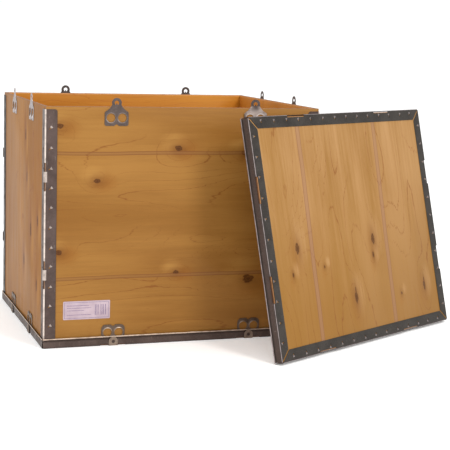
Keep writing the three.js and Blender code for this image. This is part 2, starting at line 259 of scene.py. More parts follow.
FIELDS = {  # noises: scale along the grain, across it and through the board, detail, roughness
    "jag": (9, 210, 60, 2, 0.6),
    "rings": (1.9, 7.5, 30, 1, 0.4),
    "wobble": (26, 70, 90, 3, 0.6),
    "broad": (1.8, 13, 60, 3, 0.5),
    "streak": (6, 140, 150, 4, 0.6),
    "pore": (60, 900, 500, 2, 0.6),
    "patch": (3, 5, 20, 2, 0.5),
    "fading": (3.9, 11.7, 26, 1, 0.5),
    "waver": (5, 14, 9, 2, 0.5),
    "ragged": (90, 170, 60, 3, 0.6),
}
JAG_REACH = 0.034
RING_COUNT, FIGURE_RINGS, WOBBLE_RINGS = 15, 3, 0.26
KNOT_RINGS = (6, 2.6)  # reach in knot radii, and how many rings it adds
LINE_WIDTH = 0.042
TONE_SHARES = (0.56, 0.32, 0.12)  # broad tone, streaks and pores

WARM = rgb(232, 140, 30)
SANDED = rgb(214, 160, 110)
SANDED_BAND = (0.004, 0.0015)
PAINTED_SHADE_SPAN = (-0.24, 0.22)
VENEER_BUMP, VENEER_SPECULAR = 0.0002, 0.2


def knot(along, across, radius, stretch=1.35):
    return along * MM, across * MM, radius * MM, stretch


def seam(across, slope=0.0, half=3.2):
    return across * MM, slope, half * MM


class Veneer:
    """Rotary-cut veneer. Positions are (along the grain, across it), in metres."""

    def __init__(self, name, light, dark, seed, upright, knots, seams=(), figures=()):
        self.nodes = Nodes(f"{name}_veneer")
        self.light, self.dark = rgb(*light), rgb(*dark)
        self.seed, self.upright = seed, upright
        self.knots = [knot(*spot) for spot in knots]
        self.seams = [seam(*place) for place in seams]
        self.figures = [[value * MM for value in spot] for spot in figures]

    def field(self, name, place):
        *scales, detail, rough = FIELDS[name]
        return self.nodes.noise(self.nodes.scaled(place, *scales), 1, detail, rough)

    def distance(self, grain, along, across, length, width):
        """How far a point is from a spot, in units of its half length and half width."""
        n = self.nodes
        near = n.vector("SUBTRACT", grain, (along, across, 0))
        scaled = n.scaled(near, 1 / length, 1 / width, 0)
        return n.vector("LENGTH", scaled, output="Value")

    def nearest_knot(self, grain):
        n = self.nodes
        nearest = n.plus(FAR, 0)
        for along, across, radius, stretch in self.knots:
            found = self.distance(grain, along, across, radius * stretch, radius)
            nearest = n.math("MINIMUM", nearest, found)
        return nearest

    def bell(self, distance, reach):
        n = self.nodes
        squared = n.math("POWER", n.math("DIVIDE", distance, reach), 2)
        return n.math("EXPONENT", n.times(squared, -1))

    def contours(self, grain, knot_near):
        """Thin lines where the knife cut across the growth rings."""
        n = self.nodes
        jag = n.minus(self.field("jag", grain), 0.5)
        grain = n.vector("ADD", grain, n.scaled(n.combined(X=jag), JAG_REACH, 0, 0))
        field = n.times(self.field("rings", grain), RING_COUNT)
        reach, count = KNOT_RINGS
        field = n.plus(field, n.times(self.bell(knot_near, reach), count))
        shift_along, shift_across, _ = self.shift()
        for along, across, length, width in self.figures:
            near = self.distance(grain, along + shift_along, across + shift_across, length, width)
            field = n.plus(field, n.times(self.bell(near, 1), FIGURE_RINGS))
        field = n.plus(field, n.times(self.field("wobble", grain), WOBBLE_RINGS))
        return n.ramp(n.math("PINGPONG", field, 0.5), 0.0, LINE_WIDTH, 1.0, 0.0)

    def seam_band(self, grain):
        """Seams between veneer sheets: a pale band between two thin lines."""
        n = self.nodes
        along, across = n.axis(grain, "X"), n.axis(grain, "Y")
        band, line = n.plus(0, 0), n.plus(0, 0)
        for place, slope, half in self.seams:
            drift = n.times(along, slope)
            off = n.minus(n.minus(across, drift), place)
            away = n.math("ABSOLUTE", off)
            band = n.most(band, n.ramp(away, half * 0.8, half * 1.25, 1, 0))
            edge = n.math("ABSOLUTE", n.minus(away, half * 0.9))
            line = n.most(line, n.ramp(edge, 0.0003, 0.0013, 1, 0))
        return band, line

    def shift(self):
        return tuple(self.seed * k for k in SEED_SHIFT)

    def make(
        self, warm=0.0, figure_strength=0.65, seam_strength=0.65, drift=0.0, halo=0.75, sanded=0.0
    ):
        """Drift is painted shade, darkening it towards one end along the grain; sanded is the
        height of a pale top edge.
        """
        n = self.nodes
        grain = self.grain(n.coordinates())
        seeded = n.vector("ADD", grain, self.shift())
        near = self.ragged(seeded, self.nearest_knot(grain))
        near_pale, near_deep = (
            self.ragged(seeded, self.nearest_knot(n.vector("ADD", grain, side)))
            for side in (PALE_SIDE, DEEP_SIDE)
        )
        broad, streak, pore = (self.field(name, seeded) for name in ("broad", "streak", "pore"))
        pale = tinted(self.light, 1.26, 1.36, 1.55)
        colour = self.ground(seeded, broad, streak, pore, pale)
        if sanded:
            low, high = SANDED_BAND
            rise = n.axis(n.coordinates(), "Y")
            colour = n.blend(n.ramp(rise, sanded - low, sanded - high, 0, 0.6), colour, SANDED)
        # painted shade, darker towards the far end of the grain
        if drift:
            lower = n.ramp(n.axis(grain, "X"), *PAINTED_SHADE_SPAN, 0, drift)
            colour = n.blend(lower, colour, tinted(self.dark, 0.9, 0.84, 0.5))
        colour = self.figured(colour, seeded, near, figure_strength)
        deep = n.ramp(near_deep, 1, 7, halo * 0.7, 0)
        colour = n.blend(deep, colour, tinted(self.dark, 1, 0.82, 0.5))
        colour = self.knotted(colour, near, near_pale, streak, pale, halo)
        band, seam_line = self.seam_band(grain)
        faint = n.ramp(broad, 0.3, 0.7, 0.6, 1)
        banded = n.times(n.times(band, faint), seam_strength)
        colour = n.blend(banded, colour, tinted(self.light, 0.7, 0.66, 1.0))
        scored = n.times(n.times(seam_line, faint), seam_strength)
        colour = n.blend(scored, colour, tinted(self.dark, 0.6, 0.42, 0.6))
        if warm:
            colour = n.blend(warm, colour, WARM)
        height = n.plus(n.times(streak, 0.4), n.times(pore, 0.35))
        height = n.minus(height, n.times(seam_line, 0.5))
        height = n.minus(height, n.ramp(near, 0.7, 1.1, 0.4, 0))
        roughness = n.ramp(streak, 0.25, 0.75, 0.46, 0.62)
        return n.finish(colour, roughness, height, VENEER_BUMP, Specular_IOR_Level=VENEER_SPECULAR)

    def grain(self, place):
        """The place, with its first axis along the wavering grain."""
        n = self.nodes
        if self.upright:
            x, y, z = (n.axis(place, name) for name in "XYZ")
            place = n.combined(X=y, Y=x, Z=z)
        push = n.combined(Y=n.minus(self.field("waver", place), 0.5))
        return n.vector("ADD", place, n.scaled(push, 0, WAVER, 0))

    def ragged(self, seeded, near):
        n = self.nodes
        rough = n.minus(self.field("ragged", seeded), 0.5)
        return n.plus(near, n.times(rough, RAGGED))

    def ground(self, seeded, broad, streak, pore, pale):
        n = self.nodes
        parts = [n.times(p, k) for p, k in zip((broad, streak, pore), TONE_SHARES)]
        tone = n.plus(n.plus(parts[0], parts[1]), parts[2])
        patch = self.field("patch", seeded)
        colour = n.blend(n.ramp(tone, 0.34, 0.66), self.dark, self.light)
        colour = n.blend(n.ramp(patch, 0.48, 0.72, 0, 0.32), colour, pale)
        deep = tinted(self.dark, 0.88, 0.8, 0.7)
        return n.blend(n.ramp(patch, 0.5, 0.27, 0, 0.5), colour, deep)

    def figured(self, colour, seeded, near, strength):
        """Contour lines, which come and go but always show round a knot."""
        n = self.nodes
        line = self.contours(seeded, near)
        fading = n.ramp(self.field("fading", seeded), 0.36, 0.58)
        fading = n.most(fading, n.ramp(near, 4, 11, 0.9, 0))
        inked = n.times(n.times(line, fading), strength)
        return n.blend(inked, colour, tinted(self.dark, 0.72, 0.46, 0.34))

    def knotted(self, colour, near, near_pale, streak, pale, halo):
        """A dark broken core and ring, a pale side, and a smear along the grain."""
        n = self.nodes
        smear = n.times(self.bell(near, 3.4), n.ramp(streak, 0.3, 0.6, 0.25, 0.8))
        pale_side = n.ramp(near_pale, 0.6, 6.5, halo, 0)
        lit = n.times(pale_side, n.ramp(streak, 0.35, 0.6, 0.45, 1.1))
        colour = n.blend(lit, colour, pale)
        colour = n.blend(smear, colour, tinted(self.dark, 0.62, 0.47, 0.3))
        brown = tinted(self.dark, 0.24, 0.15, 0.1)
        olive = tinted(self.dark, 0.5, 0.42, 0.3)
        colour = n.blend(n.ramp(near, 0.8, 1.25, 0.75, 0), colour, olive)
        around = n.math("ABSOLUTE", n.minus(near, 1.0))
        colour = n.blend(n.ramp(around, 0.08, 0.4, 0.75, 0), colour, brown)
        return n.blend(n.ramp(near, 0.3, 0.85, 0.75, 0), colour, brown)


PLIES, EDGE_BUMP = 5, 0.0004


def ply_edge(name, face, thickness, light, dark):
    """Stacked plies on the edge of a board whose outer face is at that depth."""
    n = Nodes(name)
    place = n.coordinates()
    inner_face = face - thickness
    ply = n.math("DIVIDE", n.minus(n.axis(place, "Z"), inner_face), thickness / PLIES)
    odd = n.math("PINGPONG", ply, 1.0)
    fibre = n.noise(n.scaled(place, 260, 260, 900), 1, 3, 0.6)
    blotch = n.noise(n.scaled(place, 14, 14, 200), 1, 3)
    colour = n.blend(n.ramp(odd, 0.35, 0.65), light, dark)
    colour = n.blend(n.ramp(fibre, 0.35, 0.75, 0, 0.45), colour, shaded(dark, 0.55))
    colour = n.blend(n.ramp(blotch, 0.5, 0.8, 0, 0.4), colour, shaded(light, 1.2))
    glue = n.ramp(n.math("ABSOLUTE", n.minus(odd, 0.5)), 0.03, 0.12, 0.5, 0)
    colour = n.blend(glue, colour, shaded(dark, 0.4))
    return n.finish(colour, n.ramp(fibre, 0.3, 0.7, 0.6, 0.85), fibre, EDGE_BUMP)


# ---- steel ----

STEEL_BUMP = 0.0003
PAINTED_REFLECTION_BAND = (1.0, 2.6)  # millimetres up a rim where its flange's colour gives way to the painted reflection on its side


def steel_material(name, dull, bright, side=None, mottle=0.5, metallic=0.8, rough=0.42):
    """Galvanised steel. A vertex attribute paints highlights towards the bright colour, and
    painted shade where negative; side is the painted reflection colour of a rim's side flange, and
    mottle the strength of the flecks."""
    n = Nodes(name)
    place = n.coordinates()
    cloud = n.noise(place, 26, 4, 0.6, 0.4)
    fleck = n.noise(place, 300, 4, 0.7)
    spangle = n.node("ShaderNodeTexVoronoi", {"Vector": place, "Scale": 150}, "Color")
    grey = n.node("ShaderNodeSeparateColor", {0: spangle}, "Red")
    scratch = n.noise(n.scaled(place, 500, 60, 500), 1, 2, 0.7, 0.2)
    dark = tinted(dull, 0.76, 0.74, 0.72)
    colour = n.blend(n.ramp(cloud, 0.35, 0.7), dark, shaded(dull, 1.25))
    # painted reflection: a rim's side flange gets its own colour
    if side:
        low, high = (level * MM for level in PAINTED_REFLECTION_BAND)
        colour = n.blend(n.ramp(n.axis(place, "Y"), low, high, 0, 0.85), colour, side)
    colour = n.blend(n.times(grey, 0.18), colour, shaded(dull, 1.3))
    pale_fleck, dark_fleck = tinted(dull, 2.0, 2.0, 2.05), tinted(dull, 0.5, 0.47, 0.45)
    colour = n.blend(n.ramp(fleck, 0.52, 0.72, 0, mottle), colour, pale_fleck)
    colour = n.blend(n.ramp(fleck, 0.48, 0.3, 0, mottle), colour, dark_fleck)
    colour = n.blend(n.ramp(scratch, 0.64, 0.78, 0, 0.22), colour, bright)
    # painted highlight towards the bright colour where the attribute is positive, painted shade
    # where it is negative
    wear_or_painted_light = n.attribute("wear")
    patchy = n.ramp(n.noise(place, 90, 3, 0.6), 0.3, 0.6, 0.55, 1)
    colour = n.blend(n.times(wear_or_painted_light, patchy, clamp=True), colour, bright)
    painted_shade_mix = n.times(wear_or_painted_light, -1, clamp=True)
    colour = n.blend(painted_shade_mix, colour, tinted(dull, 0.3, 0.26, 0.24))
    height = n.plus(n.times(fleck, 0.4), n.times(cloud, 0.8))
    uneven = n.plus(cloud, n.times(grey, 0.15))
    roughness = n.ramp(uneven, 0.3, 0.8, rough - 0.1, rough + 0.15)
    return n.finish(colour, roughness, height, STEEL_BUMP, Metallic=metallic)


# ---- meshes ----


SIDES = {"front": 0, "right": 90, "back": 180, "left": 270}
LONG_SIDES = ("front", "back")


def side_matrix(side, base=Matrix()):
    """Frame of one side: X along it, Y up, Z out of the crate."""
    upright = Matrix.Rotation(math.pi / 2, 4, "X")
    return base @ Matrix.Rotation(math.radians(SIDES[side]), 4, "Z") @ upright


def add_object(name, bm, matrix, materials, sharp=35):
    bmesh.ops.recalc_face_normals(bm, faces=bm.faces)
    mesh = bpy.data.meshes.new(name)
    bm.to_mesh(mesh)
    bm.free()
    for material in materials:
        mesh.materials.append(material)
    mesh.shade_smooth()
    mesh.set_sharp_from_angle(angle=math.radians(sharp))
    return placed(name, mesh, matrix)


BOARD_STEPS, BOARD_SHARP = 46, 50  # divisions of each edge, degrees
BOARD_CHAMFER, BOARD_RAGGED = 0.7 * MM, 0.3 * MM
ON_EDGE = 1e-6


def eased(value, low, high, pull):
    """A coordinate, drawn in where it lies on the outline's limits."""
    if min(abs(value - low), abs(value - high)) < ON_EDGE:
        return value - math.copysign(pull, value - (low + high) / 2)
    return value


def board(name, matrix, low, high, materials, seed):
    """A plywood board. Its materials: outer face, edges and, if given, inner face."""
    draw = random.Random(seed)
    bm = bmesh.new()
    low, high = Vector(low), Vector(high)
    corners = [(low.x, low.y), (high.x, low.y), (high.x, high.y), (low.x, high.y)]
    outline = []
    for (x0, y0), (x1, y1) in zip(corners, corners[1:] + corners[:1]):
        shares = [i / BOARD_STEPS for i in range(BOARD_STEPS)]
        outline += [(x0 + (x1 - x0) * share, y0 + (y1 - y0) * share) for share in shares]
    nicks = [draw.random() * BOARD_RAGGED for _ in outline]
    part = BOARD_CHAMFER * 0.3
    levels = [
        (low.z, BOARD_CHAMFER), (low.z + part, part), (low.z + BOARD_CHAMFER, 0),
        (high.z - BOARD_CHAMFER, 0), (high.z - part, part), (high.z, BOARD_CHAMFER),
    ]
    rings = []
    for z, inset in levels:
        level = []
        for (x, y), nick in zip(outline, nicks):
            x, y = eased(x, low.x, high.x, inset + nick), eased(y, low.y, high.y, inset + nick)
            level.append(bm.verts.new((x, y, z)))
        rings.append(level)
    count = len(outline)
    for lower, upper in zip(rings, rings[1:]):
        for i in range(count):
            j = (i + 1) % count
            bm.faces.new((lower[i], lower[j], upper[j], upper[i])).material_index = 1
    bm.faces.new(rings[0]).material_index = 2 if len(materials) > 2 else 0
    bm.faces.new(rings[-1])
    return add_object(name, bm, matrix, materials, BOARD_SHARP)


class Path:
    """A polyline read by its length, with its outer side on the given hand."""

    def __init__(self, points, hand):
        self.points = [Vector(p) for p in points]
        self.lengths = [0.0]
        for a, b in zip(self.points, self.points[1:]):
            self.lengths.append(self.lengths[-1] + (b - a).length)
        self.total = self.lengths[-1]
        normals = []
        for a, b in zip(self.points, self.points[1:]):
            d = (b - a).normalized()
            normals.append(Vector((d.y, -d.x)) * hand)
        self.normals = [normals[0]]
        for a, b in zip(normals, normals[1:]):
            mean = (a + b).normalized()
            self.normals.append(mean / max(0.5, mean.dot(a)))
        self.normals.append(normals[-1])

    def at(self, s, depth):
        """The point at length s, at a depth under the outer surface."""
        last = len(self.lengths) - 2
        i = max(0, min(last, sum(1 for length in self.lengths[1:-1] if length <= s)))
        t = (s - self.lengths[i]) / (self.lengths[i + 1] - self.lengths[i])
        point = self.points[i].lerp(self.points[i + 1], t)
        normal = self.normals[i].lerp(self.normals[i + 1], min(1, max(0, t)))
        return point - normal * depth


def arc(centre, radius, start, end, steps=6):  # in degrees
    angles = [math.radians(start + (end - start) * i / steps) for i in range(steps + 1)]
    return [(centre[0] + radius * math.cos(a), centre[1] + radius * math.sin(a)) for a in angles]


def ring(centre, radius, steps=20):
    return arc(centre, radius, 0, 360, steps)[:-1]


def inside(point, polygon):
    x, y = point
    found = False
    for (x0, y0), (x1, y1) in zip(polygon, polygon[1:] + polygon[:1]):
        if (y0 > y) != (y1 > y) and x < (x1 - x0) * (y - y0) / (y1 - y0) + x0:
            found = not found
    return found


CUT_TOLERANCE, SLIVER = 1e-4, 1e-5


def cut_flat(outline, cutters, lines):
    """The points and triangles of a flat outline less its cutters, divided along lines."""
    points, edges = [], []
    for polygon in [outline] + cutters:
        first = len(points)
        points += polygon
        edges += [(first + i, first + (i + 1) % len(polygon)) for i in range(len(polygon))]
    for line in lines:
        first = len(points)
        points += line
        edges += [(first + i, first + i + 1) for i in range(len(line) - 1)]
    found = delaunay_2d_cdt([Vector(p) for p in points], edges, [], 0, CUT_TOLERANCE)
    flat, triangles = found[0], found[2]
    kept = []
    for triangle in triangles:
        a, b, c = (flat[i] for i in triangle)
        middle = (a + b + c) / 3
        area = (b - a).cross(c - a)
        if abs(area) < SLIVER or not inside(middle, outline):
            continue
        if any(inside(middle, cutter) for cutter in cutters):
            continue
        kept.append(tuple(triangle) if area > 0 else tuple(reversed(triangle)))
    return flat, kept


def ruled(low, high, levels):
    """Straight division lines from low to high, one at each level."""
    return [[(low, level), (high, level)] for level in levels]


def sheet(bm, outline, cutters, lines, place, wear, thickness):
    """Adds a closed sheet: an outline less its cutters, divided along lines and formed.

    place(u, s, depth) maps a flat point, in millimetres, to the piece."""
    # this layer holds painted highlights, and painted shade where negative
    painted_light_layer = bm.verts.layers.float.get("wear") or bm.verts.layers.float.new("wear")
    flat, kept = cut_flat(outline, cutters, lines)
    used = sorted({i for triangle in kept for i in triangle})
    layers = []
    for depth in (0, thickness):
        made = {}
        for i in used:
            u, s = flat[i]
            made[i] = bm.verts.new(place(u, s, depth))
            made[i][painted_light_layer] = wear(u, s)
        layers.append(made)
    outer, inner = layers
    borders = {}  # keeps the order in which the edges were met
    for a, b, c in kept:
        for pair in ((a, b), (b, c), (c, a)):
            if pair[::-1] in borders:
                del borders[pair[::-1]]
            else:
                borders[pair] = True
        bm.faces.new((outer[a], outer[b], outer[c]))
        bm.faces.new((inner[c], inner[b], inner[a]))
    for a, b in borders:
        bm.faces.new((outer[b], outer[a], inner[a], inner[b]))
    return painted_light_layer


TOOTH_LENGTH, TOOTH_WIDTH = 9.0, 6.2
TOOTH_STEEL, TOOTH_TILT = 0.5, 0.4
TOOTH_ROWS = (  # along the tooth, depth, painted highlight, share of the root's width
    (0.0, 0.02, 0.45, 0.96), (1.8, 0.15, 0.5, 0.78), (3.6, 0.5, 0.5, 0.55), (5.0, 1.7, 0.2, 0.3),
)
STEEL = 0.8


def tooth_hole(centre, angle):
    """Its root's two ends, then its point."""
    c, s = math.cos(angle), math.sin(angle)
    tip, half = TOOTH_LENGTH / 2, TOOTH_WIDTH / 2
    flat = [(-tip, -half), (-tip, half), (tip, 0)]
    return [(centre[0] + x * c - y * s, centre[1] + x * s + y * c) for x, y in flat]


def tooth(bm, painted_light_layer, corners, place):
    """The tooth cut from a hole: a triangle bent down from its root."""
    a, b, c = (Vector(p) for p in corners)
    root = (a + b) / 2
    inward = (c - root).normalized()
    made = []
    for step, depth, painted_highlight, share in TOOTH_ROWS:
        level = []
        for under in (0.0, TOOTH_STEEL):
            for end in (a, b):
                spot = root + (end - root) * share + inward * (step - under)
                vertex = bm.verts.new(place(spot.x, spot.y, depth + under * TOOTH_TILT))
                # painted highlight on the bent tooth, fading towards its point
                vertex[painted_light_layer] = painted_highlight
                level.append(vertex)
        made.append(level)
    for upper, lower in zip(made, made[1:]):
        for i, j in ((0, 1), (1, 3), (3, 2), (2, 0)):
            bm.faces.new((upper[i], upper[j], lower[j], lower[i]))
    for level in (made[0], made[-1]):
        bm.faces.new((level[0], level[1], level[3], level[2]))


def formed(name, matrix, material, outline, cutters, lines, place, wear, teeth=(), thick=STEEL):
    bm = bmesh.new()
    painted_light_layer = sheet(bm, outline, cutters, lines, place, wear, thick)
    for corners in teeth:
        tooth(bm, painted_light_layer, corners, place)
    return add_object(name, bm, matrix, [material])


def spread(count, pitch):
    return [(i - (count - 1) / 2) * pitch for i in range(count)]


# ---- trays ----

FLANGE, FOLD, RIM_HEIGHT = 25.0, 2.0, 20.0
LIP_HEIGHT, LIP_FLARE = 3.5, 1.0
MITRE_GAP, TOOTH_LINE = 3.0, 12.0
SLOT_LENGTH, SLOT_INSET, SLOT_HEIGHT = 54.0, 5.8, 3.2
LONG_TEETH, SHORT_TEETH = (14, 39.6), (11, 41.0)  # count and pitch
RIM_CROSS = 20  # divisions of half a rim's length
PAINTED_SHADE_LINE = -0.9  # painted light value of a painted shade line
FOLD_START, FOLD_LOW, FOLD_HIGH, FOLD_END = 2, 3, 6, 8  # points of a rim's section
LIP_START, LIP_CREASE, LIP_FLARED = 9, 10, 11
NEAR = 0.05  # millimetres either side of a point that count as on it


def rim_path(reach):
    """A rim's section as (out, up), from the flange's inner edge to the lip."""
    face = reach - LIP_FLARE
    bottom = RIM_HEIGHT - LIP_HEIGHT
    points = [(reach - FLANGE, 0.35), (reach - FLANGE + 0.8, 0.0)]
    points += arc((face - FOLD, FOLD), FOLD, -90, 0)
    points += [
        (face, bottom), (face + 0.2, bottom + 0.7), (reach - 0.15, bottom + 1.4),
        (reach, bottom + 2.0), (reach, RIM_HEIGHT - 0.5), (reach - 0.25, RIM_HEIGHT),
    ]
    return Path(points, 1)


def rim(name, matrix, reach, span, long, tongues, material, wear_or_painted_light, seed):
    fold_painted_light, lip_painted_light = wear_or_painted_light
    path = rim_path(reach)
    shy = MITRE_GAP / math.sqrt(2)
    draw = random.Random(seed)

    def limit(s):
        return span - shy - (reach - path.at(s, 0).x)

    rows = path.lengths
    outline = [(limit(s), s) for s in rows] + [(-limit(s), s) for s in reversed(rows)]
    fold_start, fold_end = rows[FOLD_START], rows[FOLD_END]
    slot_low = FLANGE - SLOT_INSET
    slot_high = fold_end + SLOT_HEIGHT - FOLD
    cutters = []
    for along in tongues:
        left, right = along - SLOT_LENGTH / 2, along + SLOT_LENGTH / 2
        cutters.append([
            (left + 1.2, slot_low), (right - 1.2, slot_low), (right, slot_low + 1.2),
            (right, slot_high - 1), (right - 1, slot_high), (left + 1, slot_high),
            (left, slot_high - 1), (left, slot_low + 1.2),
        ])
    teeth = []
    for along in spread(*(LONG_TEETH if long else SHORT_TEETH)):
        centre = (along + draw.uniform(-1.2, 1.2), FLANGE - TOOTH_LINE + draw.uniform(-0.8, 0.8))
        teeth.append(tooth_hole(centre, -math.pi / 2 + draw.uniform(-0.5, 0.5)))
    flat_rows = [fold_end + (rows[LIP_START] - fold_end) * k / 3 for k in (1, 2)]
    lines = ruled(-span - 5, span + 5, rows[1:-1] + flat_rows)
    cross = [i * span / RIM_CROSS for i in range(1 - RIM_CROSS, RIM_CROSS)]
    lines += [[(u, fold_start - 1), (u, path.total + 1)] for u in cross]

    def sway(u):
        return 0.18 * math.sin(u * 0.031 + seed) + 0.12 * math.sin(u * 0.083 + 2 * seed)

    def place(u, s, depth):
        point = path.at(s, depth)
        lift = min(1, max(0, (point.y - FOLD) / (RIM_HEIGHT - FOLD)))
        return Vector((u, point.y, point.x - abs(sway(u)) * lift * 1.2)) * MM

    def wear(u, s):
        # the lid's fold gets a painted highlight and the base's fold a painted shade line; the lip
        # gets a painted highlight, and the crease under it a painted shade line
        if rows[FOLD_LOW] + 2 * NEAR < s < rows[FOLD_HIGH] - 2 * NEAR:
            return fold_painted_light
        if s > rows[LIP_FLARED] - NEAR:
            return lip_painted_light
        return PAINTED_SHADE_LINE if rows[LIP_START] - NEAR < s < rows[LIP_CREASE] + NEAR else 0.0

    cutters += teeth
    return formed(name, matrix, material, outline, cutters, lines, place, wear, teeth)


def box_mm(node):
    low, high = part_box(node)
    return low / MM, high / MM


def joint(name):
    return next(j for j in RECORD["behaviour"]["joints"] if j["name"] == name)


def tray_frame(panel):
    """A tray's own frame. The lid's lean and turn come from its joint."""
    low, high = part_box(panel)
    middle = (low + high) / 2
    if panel == "base_panel":
        return Matrix.Translation((middle.x, middle.y, 0)), (low.z + high.z) / 2
    tip = joint("lid_tip")
    axis = tip["axis"]
    turn = Matrix.Rotation(math.atan2(axis[1], axis[0]), 4, "Z")
    lean = Matrix.Rotation(-math.radians(tip["range_deg"][1]), 4, "X")
    base_low, base_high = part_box("base_panel")
    depth = (base_low.z + base_high.z) / 2
    spot = middle - (turn @ lean) @ Vector((0, 0, depth))
    return Matrix.Translation(spot) @ turn @ lean, depth


def side_sizes(side):
    """(reach, span) of a side, in millimetres."""
    front_low, _ = box_mm("base_rim_front")
    left_low, _ = box_mm("base_rim_left")
    width, length = -front_low.y, -left_low.x
    return (width, length) if side in LONG_SIDES else (length, width)


def tongue_places(side):
    found = []
    for node in sorted(frame["nodes"]):
        if node.startswith(f"{side}_wall_top_tongue") and not node.endswith("_tip"):
            low, high = box_mm(node)
            middle = (low + high) / 2
            local = side_matrix(side).inverted() @ middle
            found.append(local.x)
    return sorted(found)


def add_tray(prefix, body, names, face, edge, metal, wear, seed):
    tray, depth = tray_frame(f"{prefix}_panel")
    base_low, base_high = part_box("base_panel")
    half = (base_high - base_low) / 2
    low = (-half.x, -half.y, depth - half.z)
    high = (half.x, half.y, depth + half.z)
    panel = board(f"{prefix}_panel_board", tray, low, high, [face, edge], seed)
    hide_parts(f"{prefix}_panel")
    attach(panel, body)
    for i, side in enumerate(SIDES):
        reach, span = side_sizes(side)
        node = f"{prefix}_rim_{names[side]}"
        piece = rim(
            f"{node}_steel", side_matrix(side, tray), reach, span, side in LONG_SIDES,
            tongue_places(side), metal, wear, seed + i,
        )
        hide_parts(node)
        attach(piece, body)


# ---- sleeve ----

LEAF, CORNER_FOLD, CORNER_RETURN = 25.0, 1.6, 3.6
HINGE_LEVELS, WINDOW = (151, 348), 57.0
LOOP_HEIGHT, LOOP_RADIUS = 21.0, 3.6
CORNER_TEETH = (11, 39.8)
WALL_INSET, STRIP_CORNER = 3.0, 5.0
STRIP_CROSS = 24  # divisions of a strip's height
STRIP_PAINTED_LIGHT = (3.4, 2.9, 0.6)  # where a long strip's painted highlight starts with a painted shade line, clears that line, and ends before another
STRIP_BREAKS = (4.0, 3.3, 2.6)
# painted shade along a strip's free edge; painted highlight on the hinge loops
FREE_EDGE_PAINTED_SHADE, LOOP_PAINTED_HIGHLIGHT = -0.5, 0.7


def local_box(node, side):
    low, high = box_mm(node)
    back = side_matrix(side).inverted()
    a, b = back @ low, back @ high
    return Vector(map(min, zip(a, b))), Vector(map(max, zip(a, b)))


def corner_strip(node, side, hand, material, seed):
    low, high = local_box(node, side)
    reach, span = side_sizes(side)
    edge, face = span - WALL_INSET, reach - WALL_INSET
    long = side in LONG_SIDES
    draw = random.Random(seed)
    if long:
        points = [(edge - LEAF, face)]
        points += arc((edge - CORNER_FOLD, face - CORNER_FOLD), CORNER_FOLD, 90, 0)
        points += [(edge, face - CORNER_RETURN)]
    else:
        points = [(edge - LEAF, face), (edge - CORNER_RETURN - 0.3, face)]
    path = Path(points, -1)
    outline = arc((low.y + STRIP_CORNER, STRIP_CORNER), STRIP_CORNER, 180, 270, 4)
    outline += arc((high.y - STRIP_CORNER, STRIP_CORNER), STRIP_CORNER, 270, 360, 4)
    outline += [(high.y, path.total), (low.y, path.total)]
    middle = (low.y + high.y) / 2
    teeth = []
    for up in spread(*CORNER_TEETH):
        rise, aside = draw.uniform(-1, 1), draw.uniform(-1.5, 1.5)
        angle = math.pi + 0.9 * hand + draw.uniform(-0.25, 0.25)
        teeth.append(tooth_hole((middle + up + rise, LEAF - TOOTH_LINE + aside), angle))
    cutters = list(teeth)
    if long:
        for level in HINGE_LEVELS:
            a, b = level - WINDOW / 2, level + WINDOW / 2
            start = LEAF - CORNER_FOLD - 1
            cutters.append([
                (a, path.total + 1), (a, start + 1), (a + 1, start),
                (b - 1, start), (b, start + 1), (b, path.total + 1),
            ])
    breaks = [1.2] + ([LEAF - back for back in STRIP_BREAKS] if long else [5.5])
    lines = ruled(low.y - 5, high.y + 5, path.lengths[1:-1] + breaks)
    cross = [low.y + (high.y - low.y) * i / STRIP_CROSS for i in range(1, STRIP_CROSS)]
    lines += [[(up, -1), (up, path.total + 1)] for up in cross]

    def place(u, s, depth):
        point = path.at(s, depth)
        wave = 0.12 * math.sin(u * 0.045 + seed) * max(0, 1 - s / 6)
        return Vector((point.x * hand, u, point.y + wave)) * MM

    def wear(u, s):
        # painted highlight on a long strip's fold, between painted shade lines; painted shade
        # along the free edge
        start, clear, end = STRIP_PAINTED_LIGHT
        if long and s > LEAF - start:
            return PAINTED_SHADE_LINE if s < LEAF - clear or s > path.total - end else 1.0
        return FREE_EDGE_PAINTED_SHADE if s < 2 * NEAR else 0.0

    bm = bmesh.new()
    painted_light_layer = sheet(bm, outline, cutters, lines, place, wear, STEEL)
    for corners in teeth:
        tooth(bm, painted_light_layer, corners, place)
    if not long:
        add_loops(bm, edge, face, hand)
    piece = add_object(f"{node}_steel", bm, side_matrix(side), [material])
    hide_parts(node)
    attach(piece, "crate")


def add_loops(bm, edge, face, hand):
    centre = (edge - CORNER_FOLD - 0.2, face - CORNER_FOLD - 0.2)
    points = [(edge - LEAF / 3, face), (edge - CORNER_RETURN - 1.5, face)]
    points += arc(centre, LOOP_RADIUS, 110, -20, 10)
    points += [(edge + 0.3 + STEEL, face - LOOP_RADIUS - CORNER_FOLD)]
    path = Path(points, -1)

    def place(u, s, depth):
        point = path.at(s, depth)
        return Vector((point.x * hand, u, point.y)) * MM

    for level in HINGE_LEVELS:
        a, b = level - LOOP_HEIGHT / 2, level + LOOP_HEIGHT / 2
        outline = [(a, 0), (b, 0), (b, path.total), (a, path.total)]
        lines = ruled(a - 1, b + 1, path.lengths[1:-1])
        # a painted highlight over each loop
        sheet(bm, outline, [], lines, place, lambda u, s: LOOP_PAINTED_HIGHLIGHT, STEEL)


# ---- tongues ----

